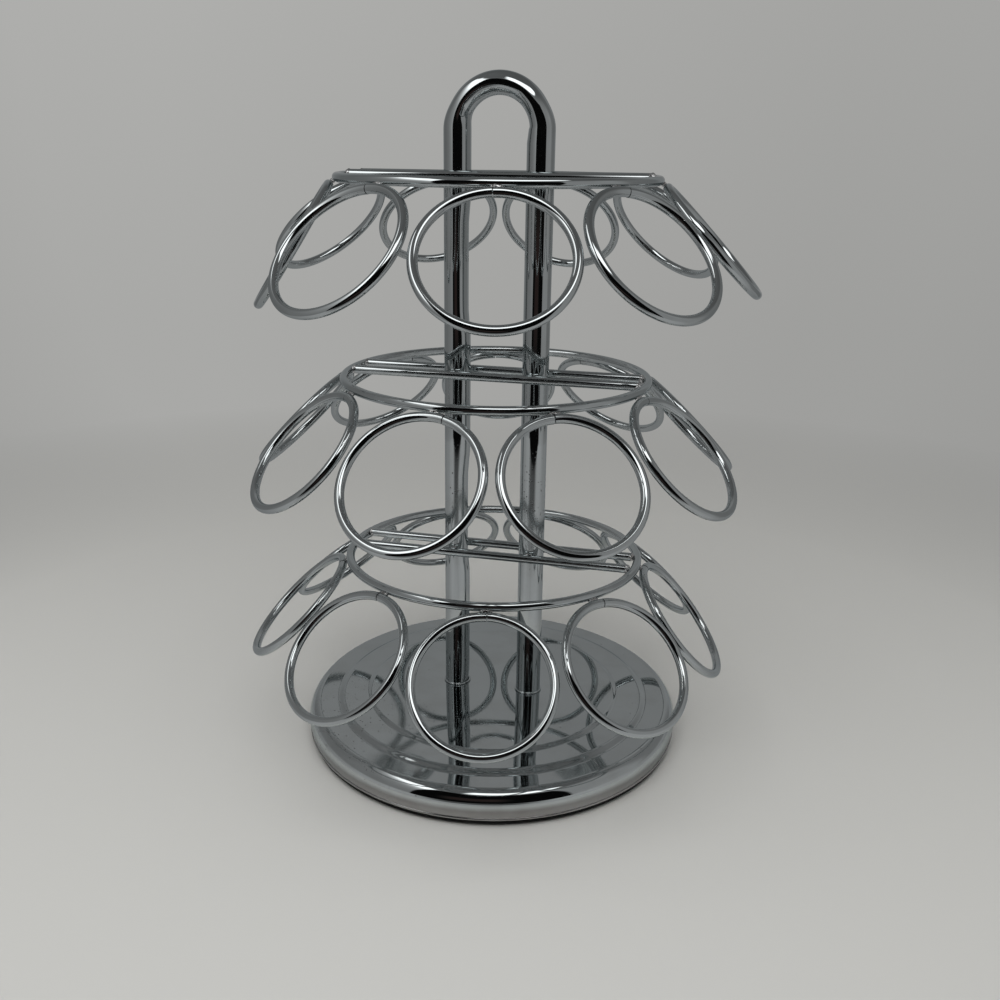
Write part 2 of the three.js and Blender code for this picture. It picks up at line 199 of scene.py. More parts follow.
def join_rows(bm, rows):
    """Faces between each row of vertices and the next."""
    for low, high in zip(rows, rows[1:]):
        for corners in zip(low, low[1:] + low[:1], high[1:] + high[:1], high):
            bm.faces.new(corners)


def ring_edges(bm, row):
    """The edges round a closed row of vertices."""
    return [bm.edges.get(pair) or bm.edges.new(pair) for pair in zip(row, row[1:] + row[:1])]


def fill_between(bm, *rows):
    """A flat face, in triangles, that the outer row bounds and the others leave open."""
    edges = [edge for row in rows for edge in ring_edges(bm, row)]
    bmesh.ops.triangle_fill(bm, edges=edges, use_beauty=True, use_dissolve=False)


def hole_row(bm, centre, radius, height, segments=40):
    """A round row of vertices about a point, for a hole or a pocket."""
    row = []
    for step in range(segments):
        angle = math.tau * step / segments
        x = centre[0] + radius * math.cos(angle)
        y = centre[1] + radius * math.sin(angle)
        row.append(bm.verts.new((x, y, height)))
    return row


def arc(centre, radii, start, stop, steps):
    """Points of an arc or ellipse as (radius, height), from one angle to another in degrees."""
    points = []
    for step in range(steps + 1):
        angle = math.radians(start + (stop - start) * step / steps)
        points.append((centre[0] + radii[0] * math.cos(angle), centre[1] + radii[1] * math.sin(angle)))
    return points


# ---- Node helpers ----


def new_material(name):
    """An empty node material, with its tree and its Principled shader."""
    material = bpy.data.materials.new(name)
    material.use_nodes = True
    tree = material.node_tree
    return material, tree, tree.nodes["Principled BSDF"]


def add_node(tree, kind, inputs=None, **settings):
    """A node with its settings and the given inputs, each a number, a colour or another socket."""
    node = tree.nodes.new(kind)
    for key, value in settings.items():
        setattr(node, key, value)
    for key, value in (inputs or {}).items():
        if isinstance(value, bpy.types.NodeSocket):
            tree.links.new(value, node.inputs[key])
        else:
            node.inputs[key].default_value = value
    return node


def place(tree):
    """The place on the object, in metres."""
    return add_node(tree, "ShaderNodeTexCoord").outputs["Object"]


def noise_value(tree, coordinates, scale, detail=3.0, rough=0.55):
    """Smooth random values over the surface."""
    inputs = {"Vector": coordinates, "Scale": scale, "Detail": detail, "Roughness": rough}
    return add_node(tree, "ShaderNodeTexNoise", inputs).outputs["Fac"]


def stretched(tree, coordinates, scale):
    """The coordinates, stretched along some axes."""
    return add_node(tree, "ShaderNodeMapping", {"Vector": coordinates, "Scale": scale}).outputs["Vector"]


def remapped(tree, value, low, high, to_low=0.0, to_high=1.0):
    """A value's range from low to high turned into another, clamped."""
    inputs = {"Value": value, "From Min": low, "From Max": high, "To Min": to_low, "To Max": to_high}
    return add_node(tree, "ShaderNodeMapRange", inputs).outputs["Result"]


def combined(tree, operation, first, second):
    """Two values put together by a Math node."""
    node = add_node(tree, "ShaderNodeMath", {0: first, 1: second}, operation=operation)
    return node.outputs[0]


def mixed_colour(tree, share, first, second):
    """One colour or the other, by share."""
    node = add_node(tree, "ShaderNodeMix", data_type="RGBA")
    for socket, value in ((node.inputs[0], share), (node.inputs[6], first), (node.inputs[7], second)):
        if isinstance(value, bpy.types.NodeSocket):
            tree.links.new(value, socket)
        else:
            socket.default_value = value
    return node.outputs[2]


def bumped(tree, height, depth, onto=None):
    """A normal from a height of 0 to 1, which is depth metres tall."""
    inputs = {"Height": height, "Distance": depth, "Strength": 1.0}
    if onto is not None:
        inputs["Normal"] = onto
    return add_node(tree, "ShaderNodeBump", inputs).outputs["Normal"]


def speck_mask(tree, coordinates, scale, size, share):
    """1 inside a few small round specks and 0 elsewhere. Share is how many cells hold one."""
    cells = add_node(tree, "ShaderNodeTexVoronoi", {"Vector": coordinates, "Scale": scale})
    near = remapped(tree, cells.outputs["Distance"], size, size * 0.55)
    parts = add_node(tree, "ShaderNodeSeparateColor", {"Color": cells.outputs["Color"]})
    chosen = combined(tree, "LESS_THAN", parts.outputs["Red"], share)
    return combined(tree, "MULTIPLY", near, chosen)


def grey(level, warmth=0.0):
    """A neutral colour, or a slightly warm or cool one."""
    return (level * (1 + warmth), level, level * (1 - warmth), 1.0)


# ---- Materials ----

HAZE = 0.1  # how much rougher the chrome is in its worn places
CLEAN_CHROME = (0.53, 0.562, 0.568, 1.0)
SMEARED_CHROME = (0.49, 0.515, 0.515, 1.0)
# colours that the cover turns to below a height: darker and browner, and a little less dark at the very
# bottom
DARKENED_CHROME = (0.27, 0.26, 0.257, 1.0)
DARKENED_CHROME_LOW = (0.37, 0.357, 0.352, 1.0)
CHROME_EDGE_TINT = (0.74, 0.77, 0.78, 1.0)


def pits_and_haze(tree, where, worn_places):
    """A mask of the pits in the plate, and the roughness that wear adds to it."""
    pits = speck_mask(tree, where, 420, 0.12, 0.03)
    haze = 0.0
    for centre, radius, share in worn_places:
        offset = add_node(tree, "ShaderNodeVectorMath", {0: where, 1: centre}, operation="DISTANCE")
        nearby = remapped(tree, offset.outputs["Value"], radius, radius * 0.3)
        dense = combined(tree, "MULTIPLY", speck_mask(tree, where, 900, 0.3, share), nearby)
        pits = combined(tree, "MAXIMUM", pits, dense)
        haze = combined(tree, "ADD", haze, combined(tree, "MULTIPLY", nearby, HAZE))
    return pits, haze


def darkened_low(tree, height, below, smear, clean, plain):
    """The plate's colour and roughness: darker, browner and rougher below a height, and a little less dark
    again at the very bottom.
    """
    low = remapped(tree, height, below, below - 2 * MM)
    lowest = remapped(tree, height, below - 1.5 * MM, below - 4 * MM)
    patchy = combined(tree, "MULTIPLY", low, remapped(tree, smear, 0, 1, 0.8, 1.0))
    low_colour = mixed_colour(tree, lowest, DARKENED_CHROME, DARKENED_CHROME_LOW)
    rough = combined(tree, "ADD", plain, combined(tree, "MULTIPLY", patchy, 0.1))
    return mixed_colour(tree, patchy, clean, low_colour), rough


def chrome(name, worn_places=(), grain=(1.0, 1.0, 1.0), peel=320, peel_depth=0.6e-5, darkening_below=None):
    """Bright chrome plate with a faint peel, smears, hairline scratches and pits.

    worn_places are (centre, radius, share of cells that are pitted). Below the height darkening_below the
    plate is darker, browner and rougher.
    """
    material, tree, shader = new_material(name)
    where = place(tree)
    smear = remapped(tree, noise_value(tree, where, 75, 5.0), 0.46, 0.74)
    lines = noise_value(tree, stretched(tree, where, grain), 1500, 2.0)
    scratch = remapped(tree, lines, 0.62, 0.7)
    pits, haze = pits_and_haze(tree, where, worn_places)
    clean = mixed_colour(tree, smear, CLEAN_CHROME, SMEARED_CHROME)
    plain = combined(tree, "ADD", remapped(tree, smear, 0, 1, 0.035, 0.075), haze)
    if darkening_below is not None:
        parts = add_node(tree, "ShaderNodeSeparateXYZ", {"Vector": where})
        clean, plain = darkened_low(tree, parts.outputs["Z"], darkening_below, smear, clean, plain)
    tree.links.new(mixed_colour(tree, pits, clean, grey(0.12, 0.05)), shader.inputs["Base Color"])
    shader.inputs["Specular Tint"].default_value = CHROME_EDGE_TINT
    lined = combined(tree, "ADD", plain, combined(tree, "MULTIPLY", scratch, 0.025))
    rough = combined(tree, "ADD", lined, combined(tree, "MULTIPLY", pits, 0.35))
    tree.links.new(rough, shader.inputs["Roughness"])
    shader.inputs["Metallic"].default_value = 1.0
    peeled = bumped(tree, noise_value(tree, where, peel, 2.0), peel_depth)
    pitted = bumped(tree, combined(tree, "SUBTRACT", 1.0, pits), 3e-5, peeled)
    tree.links.new(pitted, shader.inputs["Normal"])
    return material


def welded_chrome():
    """Chrome over fused metal: bright, uneven and duller than the wire."""
    material, tree, shader = new_material("welded_chrome")
    where = place(tree)
    lumps = noise_value(tree, where, 1400, 4.0, 0.6)
    scale = noise_value(tree, where, 420, 3.0)
    share = remapped(tree, scale, 0.42, 0.66)
    tree.links.new(mixed_colour(tree, share, grey(0.62), grey(0.36, 0.03)), shader.inputs["Base Color"])
    tree.links.new(remapped(tree, lumps, 0.3, 0.7, 0.1, 0.34), shader.inputs["Roughness"])
    shader.inputs["Metallic"].default_value = 1.0
    tree.links.new(bumped(tree, lumps, 6e-5), shader.inputs["Normal"])
    return material


def cut_steel(name, level, warmth, grain):
    """Machined or stamped steel with fine lines, blotches and rougher patches."""
    material, tree, shader = new_material(name)
    where = place(tree)
    lines = noise_value(tree, stretched(tree, where, grain), 1200, 3.0)
    blotch = remapped(tree, noise_value(tree, where, 130, 5.0), 0.38, 0.66)
    light = grey(level, warmth)
    dark = grey(level * 0.72, warmth * 1.6)
    tree.links.new(mixed_colour(tree, blotch, light, dark), shader.inputs["Base Color"])
    rough = combined(tree, "ADD", remapped(tree, lines, 0.3, 0.7, 0.2, 0.42),
                     combined(tree, "MULTIPLY", blotch, 0.12))
    tree.links.new(rough, shader.inputs["Roughness"])
    shader.inputs["Metallic"].default_value = 1.0
    tree.links.new(bumped(tree, lines, 8e-6), shader.inputs["Normal"])
    return material


def moulded(name, light, dark, rough_range, grain_scale, grain_depth, shine=0.4):
    """Moulded plastic or rubber with a fine grained skin, dust and scuffs."""
    material, tree, shader = new_material(name)
    where = place(tree)
    grain = noise_value(tree, where, grain_scale, 3.0, 0.6)
    scuff = remapped(tree, noise_value(tree, where, 95, 6.0, 0.65), 0.5, 0.72)
    dust = speck_mask(tree, where, 700, 0.14, 0.12)
    worn = mixed_colour(tree, scuff, dark, light)
    dusty = mixed_colour(tree, combined(tree, "MULTIPLY", dust, 0.5), worn, grey(0.3, 0.04))
    tree.links.new(dusty, shader.inputs["Base Color"])
    rough = combined(tree, "ADD", remapped(tree, grain, 0.3, 0.7, *rough_range),
                     combined(tree, "MULTIPLY", scuff, 0.1))
    tree.links.new(rough, shader.inputs["Roughness"])
    shader.inputs["Specular IOR Level"].default_value = shine
    tree.links.new(bumped(tree, grain, grain_depth), shader.inputs["Normal"])
    return material


def make_materials():
    """Every finish on the object, by a short name."""
    worn_post = ((POST_X, -POST_RADIUS, 0.1), 0.028, 0.34)
    other_post = ((-POST_X, -POST_RADIUS, 0.108), 0.022, 0.1)
    worn_edge = ((-0.058, -0.05, 0.01), 0.05, 0.16)
    return {
        "wire": chrome("wire_chrome", peel=420, peel_depth=0.9e-6),
        "tube": chrome("tube_chrome", [worn_post, other_post], (1.0, 1.0, 0.03), 140, 1.1e-6),
        "cover": chrome("cover_chrome", [worn_edge], (1.0, 0.05, 1.0), 70, 5e-6, 8.7 * MM),
        "weld": welded_chrome(),
        "steel": cut_steel("stamped_steel", 0.27, 0.0, (1.0, 0.06, 1.0)),
        "zinc": cut_steel("zinc_steel", 0.4, 0.02, (0.1, 0.1, 1.0)),
        "ball": cut_steel("ball_steel", 0.55, 0.0, (1.0, 1.0, 1.0)),
        "plastic": moulded("black_plastic", grey(0.014), grey(0.005), (0.5, 0.7), 1600, 1.6e-5, 0.12),
        "cage": moulded("cage_nylon", grey(0.62, 0.03), grey(0.7, 0.04), (0.4, 0.55), 1300, 8e-6),
        "rubber": moulded("pad_rubber", grey(0.035, 0.03), grey(0.018), (0.7, 0.9), 900, 3e-5),
    }


# ---- Wire work ----


def loop_butt(points, centre, normal):
    """The direction from a loop's centre to its butt joint: the two closest of the CAD's sections."""
    first = Vector(points[0]) - centre
    first = (first - first.dot(normal) * normal).normalized()
    second = normal.cross(first)
    offsets = points - np.array(centre)
    angles = np.arctan2(offsets @ np.array(second), offsets @ np.array(first)) % math.tau
    sections = np.unique(np.round(angles, 3))
    spacings = np.diff(np.append(sections, sections[0] + math.tau))
    spacings[spacings < 0.012] = math.tau
    closest = int(spacings.argmin())
    angle = float(sections[closest] + spacings[closest] / 2)
    return math.cos(angle) * first + math.sin(angle) * second


def loop_rings(centre, normal, radius, butt, seed):
    """Sections of a bent loop from one side of its butt joint round to the other."""
    rng = random.Random(seed)
    side = normal.cross(butt)
    phase = rng.uniform(0, math.tau)
    miss = rng.choice((-1, 1)) * rng.uniform(0.4, 1) * BUTT_STEP
    half_gap = BUTT_GAP / 2 / radius
    edge = BUTT_EDGE / radius
    turns = np.linspace(half_gap + edge, math.tau - half_gap - edge, LOOP_STEPS).tolist()
    stations = [(half_gap, WIRE_RADIUS - BUTT_DEPTH)]
    stations += [(turn, WIRE_RADIUS) for turn in turns]
    stations += [(math.tau - half_gap, WIRE_RADIUS - BUTT_DEPTH)]
    rings = []
    for turn, thickness in stations:
        outward = math.cos(turn) * butt + math.sin(turn) * side
        near_start = math.exp(-((turn / BUTT_REACH) ** 2))
        near_stop = math.exp(-(((math.tau - turn) / BUTT_REACH) ** 2))
        middle = centre + outward * (radius - OUT_OF_ROUND * (1 + math.cos(2 * turn + phase)) / 2)
        middle += (near_start - near_stop) * (0.5 * miss * normal + 0.3 * miss * outward)
        rings.append(section(middle, outward, normal, thickness))
    return rings


def make_loop(tier, number, materials):
    """A pod loop as a bent wire closed by a butt joint. Returns its centre, normal and radius."""
    node = f"pod_loop_{tier}_{number}"
    points = node_points(node)
    centre, normal, radius = fitted_circle(points)
    butt = loop_butt(points, centre, normal)
    bm = bmesh.new()
    seed = 100 * TIERS.index(tier) + number
    add_skin(bm, loop_rings(centre, normal, radius - LOOP_DRAW_IN, butt, seed), joined=True)
    finished_piece(bm, f"{node}_wire", materials["wire"], "carousel", [node])
    return centre, normal, radius


def make_ring(tier, materials):
    """A tier's ring as a smooth bent wire. Returns its centre, normal and radius."""
    node = f"tier_ring_{tier}"
    centre, normal, radius = fitted_circle(node_points(node))
    across = normal.orthogonal().normalized()
    along = normal.cross(across)
    rings = []
    for step in range(RING_STEPS):
        turn = math.tau * step / RING_STEPS
        outward = math.cos(turn) * across + math.sin(turn) * along
        wave = OUT_OF_ROUND * noise.noise(Vector((outward.x, outward.y, centre.z * 40)))
        middle = centre + radius * outward + wave * normal
        rings.append(section(middle, outward, normal, WIRE_RADIUS))
    bm = bmesh.new()
    add_skin(bm, rings, joined=True)
    finished_piece(bm, f"{node}_wire", materials["wire"], "carousel", [node])
    return centre, normal, radius


def make_cross_wire(tier, side, materials):
    """A straight wire with cut ends. Returns its middle, its direction and half its length."""
    node = f"cross_wire_{tier}_{side}"
    points = node_points(node)
    _, (direction, _, _) = main_directions(points)
    middle = Vector((points.max(axis=0) + points.min(axis=0)) / 2)
    direction = Vector(direction)
    half = float(np.abs((points - np.array(middle)) @ np.array(direction)).max())
    sideways = direction.orthogonal().normalized()
    upward = direction.cross(sideways)
    straight = np.linspace(CUT_EDGE - half, half - CUT_EDGE, CROSS_WIRE_STEPS).tolist()
    stations = [(-half, WIRE_RADIUS - CUT_EDGE)]
    stations += [(reach, WIRE_RADIUS) for reach in straight]
    stations += [(half, WIRE_RADIUS - CUT_EDGE)]
    rings = []
    for reach, thickness in stations:
        rings.append(section(middle + reach * direction, sideways, upward, thickness))
    bm = bmesh.new()
    add_skin(bm, rings)
    finished_piece(bm, f"{node}_wire", materials["wire"], "carousel", [node])
    return middle, direction, half


def add_weld(bm, centre, axes, seed):
    """A lump of fused metal: a ball drawn out to three half-axes, with an uneven surface."""
    made = bmesh.ops.create_icosphere(bm, subdivisions=4, radius=1)
    shift = Vector((seed * 3.7, seed * 1.9, seed * 5.3))
    for vertex in made["verts"]:
        ball = vertex.co.copy()
        uneven = 1 + 0.22 * noise.noise(ball * 1.6 + shift) + 0.07 * noise.noise(ball * 5 + shift)
        vertex.co = centre + uneven * sum((ball[i] * axes[i] for i in range(3)), Vector())


def loop_weld(bm, ring, loop, seed):
    """Fills the notch where a loop's top lies along the ring."""
    ring_centre, ring_normal, ring_radius = ring
    centre, normal, radius = loop
    inward = ring_centre - centre
    inward = (inward - inward.dot(normal) * normal).normalized()
    top = centre + radius * inward
    spoke = top - ring_centre
    spoke = (spoke - spoke.dot(ring_normal) * ring_normal).normalized()
    contact = ring_centre + ring_radius * spoke
    towards = (top - contact).normalized()
    tangent = ring_normal.cross(spoke).normalized()
    across = towards.cross(tangent)
    axes = [size * axis for size, axis in zip(LOOP_WELD, (tangent, across, towards))]
    add_weld(bm, (top + contact) / 2, axes, seed)


def cross_wire_welds(bm, ring, wire, seed):
    """Welds at both ends of a cross wire and where it passes the two posts."""
    middle, direction, half = wire
    _, ring_normal, _ = ring
    sideways = ring_normal.cross(direction).normalized()
    for sign in (-1, 1):
        end = middle + sign * (half - END_WELD_INSET) * direction
        axes = [size * axis for size, axis in zip(END_WELD, (direction, sideways, ring_normal))]
        add_weld(bm, end, axes, seed + sign)
        at_post = middle + direction * ((sign * POST_X - middle.x) / direction.x)
        towards = -1 if at_post.y > 0 else 1
        contact = at_post + Vector((0, towards * (WIRE_RADIUS + POST_WELD_OFFSET), 0))
        add_weld(bm, contact, Matrix.Diagonal(POST_WELD), seed + 2 * sign + 5)


def make_tier(tier, materials):
    """A tier: its ring, cross wires and loops, and the welds that hold them."""
    ring = make_ring(tier, materials)
    bm = bmesh.new()
    for number in LOOPS:
        loop_weld(bm, ring, make_loop(tier, number, materials), number + 20 * TIERS.index(tier))
    for index, side in enumerate(("back", "front")):
        wire = make_cross_wire(tier, side, materials)
        cross_wire_welds(bm, ring, wire, 40 + 10 * index + 60 * TIERS.index(tier))
    finished_piece(bm, f"welds_{tier}", materials["weld"], "carousel")


# ---- Posts and handle ----


def smooth_step(value):
    """0 below 0, 1 above 1, and an even curve between."""
    value = min(1.0, max(0.0, value))
    return value * value * (3 - 2 * value)


def flattening(angle, inside):
    """How far the bend's flattening has set in, from 0 to 1, at an angle round the bend.

    The angle is 0 at the right post and pi at the left. The inner wall of the right post kinks as
    the bend starts, and everywhere else the flattening comes in slowly.
    """
    slow = smooth_step(math.sin(max(0.0, angle)) / math.sin(math.radians(34)) if angle < math.pi else 0)
    if not inside:
        return slow
    kinked = smooth_step((math.degrees(angle) + 9) / 15)
    right = smooth_step((math.cos(angle) + 0.2) / 0.8)
    return slow + (kinked - slow) * right


DENTS = (  # degrees round the bend, degrees round the tube from its outer side, depth, spread
    (164, 128, 0.2 * MM, 8),
    (156, 146, 0.24 * MM, 7),
    (148, 124, 0.14 * MM, 6),
    (64, 140, 0.22 * MM, 8),
    (55, 120, 0.16 * MM, 7),
    (44, 148, 0.2 * MM, 8),
    (18, 60, 0.14 * MM, 9),
    (96, 160, 0.12 * MM, 9),
    (52, -24, 0.1 * MM, 9),
    (128, -30, 0.1 * MM, 10),
)


def dent_depth(bend_angle, tube_angle):
    """How far the tube's wall is pushed in at a place on the bend, in metres."""
    depth = 0.0
    for at_bend, at_tube, deepest, spread in DENTS:
        along = (math.degrees(bend_angle) - at_bend) / spread
        turn = math.degrees(tube_angle) - at_tube
        across = ((turn + 180) % 360 - 180) / (spread * 2.4)
        depth += deepest * math.exp(-(along**2) - across**2)
    return depth


def tube_section(middle, outward, angle, radius, is_outside):
    """A section of the tube in or beside its bend. The angle is its place round the bend."""
    ring = []
    for step in range(TUBE_SIDES):
        turn = math.tau * step / TUBE_SIDES
        set_in = flattening(angle, math.cos(turn) < 0)
        flat = 1 + (BEND_FLATTENING - 1) * set_in
        wide = 1 + (BEND_WIDENING - 1) * flattening(angle, False)
        reach = radius - (dent_depth(angle, -turn) if is_outside else 0)
        across = reach * math.cos(turn) * flat * outward
        ring.append(middle + across + Vector((0, reach * math.sin(turn) * wide, 0)))
    return ring


def handle_stations(foot, bend_height):
    """The tube's stations from the left foot to the right: middle, outward direction and angle."""
    stations = []
    heights = np.linspace(foot, bend_height, POST_STEPS, endpoint=False).tolist()
    for height in heights:
        below = (height - bend_height) / POST_X
        stations.append((Vector((-POST_X, 0, height)), Vector((-1, 0, 0)), math.pi - below))
    for step in range(BEND_STEPS + 1):
        angle = math.pi * (1 - step / BEND_STEPS)
        outward = Vector((math.cos(angle), 0, math.sin(angle)))
        stations.append((Vector((0, 0, bend_height)) + POST_X * outward, outward, angle))
    for height in heights[::-1]:
        below = (height - bend_height) / POST_X
        stations.append((Vector((POST_X, 0, height)), Vector((1, 0, 0)), below))
    return stations


def make_handle(materials):
    """The two posts and the bend over them, as one length of tube with cut feet."""
    low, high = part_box("post_handle")
    bend_height = high.z - POST_X - POST_RADIUS * BEND_FLATTENING
    stations = handle_stations(low.z, bend_height)
    bore = POST_RADIUS - POST_WALL
    outside = [tube_section(*station, POST_RADIUS, True) for station in stations]
    inside = [tube_section(*station, bore, False) for station in reversed(stations)]
    bm = bmesh.new()
    add_skin(bm, outside + inside, joined=True)
    finished_piece(bm, "bent_post_handle", materials["tube"], "carousel", ["post_handle"])


def make_post_seats(materials):
    """A thin rolled ring round the foot of each post, where it stands on the cover."""
    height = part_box("base_cover")[1].z + POST_SEAT_LIFT
    radius = POST_RADIUS + POST_SEAT_OUT
    up = Vector((0, 0, 1))
    for side, sign in (("left", -1), ("right", 1)):
        centre = Vector((sign * POST_X, 0, height))
        rings = []
        for step in range(96):
            angle = math.tau * step / 96
            outward = Vector((math.cos(angle), math.sin(angle), 0))
            rings.append(section(centre + outward * radius, outward, up, POST_SEAT_RADIUS, 16))
        bm = bmesh.new()
        add_skin(bm, rings, joined=True)
        finished_piece(bm, f"post_seat_{side}", materials["tube"], "carousel")


# ---- Base ----


def terraces(top):
    """The cover's top as (radius, height): down two rounded steps from its raised middle."""
    profile = []
    height = top
    for start, stop, lower in COVER_STEPS:
        for row in range(COVER_STEP_ROWS + 1):
            share = row / COVER_STEP_ROWS
            drop = (height - lower) * smooth_step(share)
            profile.append((start + share * (stop - start), height - drop))
        height = lower
    return profile


def make_cover(materials):
    """The pressed dish: a top in three terraces, a rolled shoulder, a skirt and a bead."""
    low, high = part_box("base_cover")
    radius = high.x
    top = high.z
    stepped = terraces(top)
    shoulder = (COVER_FLAT_RADIUS, COVER_WIDEST_HEIGHT)
    reach = (radius - COVER_FLAT_RADIUS, stepped[-1][1] - COVER_WIDEST_HEIGHT)
    skirt = radius - SKIRT_DRAW_IN
    bead_middle = (skirt - BEAD_RADIUS + BEAD_PROUD, low.z + BEAD_RADIUS)
    outside = stepped + arc(shoulder, reach, 90, 0, 40)
    outside += [(skirt + 0.06 * MM, low.z + 2.6 * BEAD_RADIUS), (skirt, low.z + 2.1 * BEAD_RADIUS)]
    bead = arc(bead_middle, (BEAD_RADIUS, BEAD_RADIUS), 80, -90, 18)
    inside = [(skirt - COVER_WALL, low.z), (skirt - COVER_WALL, low.z + 2 * BEAD_RADIUS)]
    inside += arc(shoulder, (reach[0] - COVER_WALL, reach[1] - COVER_WALL), 0, 90, 24)
    inside += [(out, height - COVER_WALL) for out, height in reversed(stepped)]
    bm = bmesh.new()
    rows = turned_rows(bm, outside + bead + inside, BASE_SEGMENTS)
    join_rows(bm, rows)
    holes = []
    for sign in (-1, 1):
        centre = (sign * POST_X, 0)
        upper = hole_row(bm, centre, SCREW_HOLE_RADIUS, top)
        lower = hole_row(bm, centre, SCREW_HOLE_RADIUS, top - COVER_WALL)
        join_rows(bm, [upper, lower])
        holes.append((upper, lower))
    fill_between(bm, rows[0], *[upper for upper, _ in holes])
    fill_between(bm, rows[-1], *[lower for _, lower in holes])
    finished_piece(bm, "pressed_base_cover", materials["cover"], "carousel", ["base_cover"])


def base_plate_profile():
    """The moulded base's section, from under its clip recess out and back in to its hub."""
    low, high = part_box("base_plate")
    bottom = low.z
    flange = high.x - PLATE_EDGE
    flange_top = bottom + PLATE_FLANGE
    rim_in, rim_out, rim_top = PLATE_RIM
    seat_in, seat_out, seat_top = RACE_SEAT
    edge = (PLATE_EDGE, PLATE_EDGE)
    profile = [(CLIP_ROOM_RADIUS, bottom), (flange, bottom)]
    profile += arc((flange, bottom + PLATE_EDGE), edge, -80, 0, 5)
    profile += arc((flange, flange_top - PLATE_EDGE), edge, 0, 90, 5)
    profile += [(rim_out, flange_top), (rim_out, rim_top - RIM_CHAMFER), (rim_out - RIM_CHAMFER, rim_top)]
    profile += [(rim_in + RIM_CHAMFER, rim_top), (rim_in, rim_top - RIM_CHAMFER), (rim_in, PLATE_FLOOR)]
    profile += [(seat_out, PLATE_FLOOR), (seat_out, seat_top), (seat_in, seat_top), (seat_in, PLATE_FLOOR)]
    profile += [(HUB_RADIUS + HUB_FILLET, PLATE_FLOOR), (HUB_RADIUS, PLATE_FLOOR + HUB_FILLET)]
    profile += [(HUB_RADIUS, high.z - RIM_CHAMFER), (HUB_RADIUS - RIM_CHAMFER, high.z), (HUB_BORE, high.z)]
    profile += [(HUB_BORE, CLIP_ROOM_TOP), (CLIP_ROOM_RADIUS, CLIP_ROOM_TOP)]
    return profile


def make_base_plate(materials):
    """The black moulded bottom, with a pocket for each pad."""
    profile = base_plate_profile()
    bottom = profile[0][1]
    bm = bmesh.new()
    rows = turned_rows(bm, profile, BASE_SEGMENTS)
    join_rows(bm, rows[1:] + rows[:1])
    mouths = []
    for number in range(1, 5):
        low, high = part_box(f"foot_pad_{number}")
        centre = (low + high) / 2
        mouth = hole_row(bm, centre, PAD_POCKET_RADIUS, bottom)
        roof = hole_row(bm, centre, PAD_POCKET_RADIUS, PAD_POCKET_TOP)
        join_rows(bm, [mouth, roof])
        bm.faces.new(roof)
        mouths.append(mouth)
    fill_between(bm, rows[1], rows[0], *mouths)
    finished_piece(bm, "moulded_base_plate", materials["plastic"], "base", ["base_plate"])


def make_pad(number, materials):
    """A rubber foot pad with a rounded edge and a slightly dished face."""
    low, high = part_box(f"foot_pad_{number}")
    centre = (low + high) / 2
    radius = (high.x - low.x) / 2
    top_edge = PAD_EDGE / 2
    profile = [(PAD_MIDDLE, low.z + PAD_DISH), (radius * 0.6, low.z + 0.72 * PAD_DISH)]
    profile += [(radius * 0.78, low.z)]
    profile += arc((radius - PAD_EDGE, low.z + PAD_EDGE), (PAD_EDGE, PAD_EDGE), -90, 0, 6)
    profile += arc((radius - top_edge, high.z - top_edge), (top_edge, top_edge), 0, 90, 4)
    profile += [(PAD_MIDDLE, high.z)]
    bm = bmesh.new()
    rows = turned_rows(bm, profile, 64)
    join_rows(bm, rows)
    bm.faces.new(rows[0])
    bm.faces.new(rows[-1])
    bmesh.ops.translate(bm, verts=bm.verts, vec=(centre.x, centre.y, 0))
    piece = finished_piece(bm, f"rubber_pad_{number}", materials["rubber"], "base")
    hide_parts(f"foot_pad_{number}")


def soften(node):
    """Rounds a carried-over CAD node's edges for the picture, with its mesh left as it is."""
    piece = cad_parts[node]
    piece.data.shade_smooth()
    piece.data.set_sharp_from_angle(angle=math.radians(32))
    weld = piece.modifiers.new("join_seams", "WELD")
    weld.merge_threshold = 1e-6
    bevel = piece.modifiers.new("broken_edges", "BEVEL")
    bevel.width = 0.12 * MM
    bevel.segments = 2
    bevel.limit_method = "ANGLE"
    bevel.angle_limit = math.radians(50)


def finish_inner_pieces(materials):
    """Materials and edges for the pieces inside the base and the posts."""
    finishes = {
        "turntable_plate": "steel",
        "spacer_plate": "steel",
        "upper_race": "zinc",
        "lower_race": "zinc",
        "ball_cage": "cage",
        "pivot_pin": "zinc",
        "pivot_clip": "steel",
    }
    for side in ("left", "right"):
        finishes[f"post_insert_{side}"] = "zinc"
        finishes[f"post_screw_{side}"] = "zinc"
    for node, finish in finishes.items():
        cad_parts[node].data.materials.clear()
        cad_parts[node].data.materials.append(materials[finish])
        soften(node)


def make_ball(number, materials):
    """A bearing ball, its faceted CAD node divided finely and pushed out to a true round."""
    node = f"ball_{number}"
    low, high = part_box(node)
    centre = (low + high) / 2
    radius = (high.z - low.z) / 2
    bm = bmesh.new()
    bm.from_mesh(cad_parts[node].data)
    bmesh.ops.remove_doubles(bm, verts=bm.verts, dist=1e-7)
    bmesh.ops.subdivide_edges(bm, edges=bm.edges, cuts=3, use_grid_fill=True)
    for vertex in bm.verts:
        vertex.co = centre + radius * (vertex.co - centre).normalized()
    finished_piece(bm, f"round_ball_{number}", materials["ball"], "ball_cage", [node])


# ---- Studio ----

CAMERA_PLACE = Vector((0.09409, -0.38255, 0.23411))
CAMERA_AIM = Vector((0.00222, 0.00028, 0.10225))
CAMERA_ROLL = 0.0138
TOWARDS_CAMERA = math.radians(13.5)  # from -Y round to +X

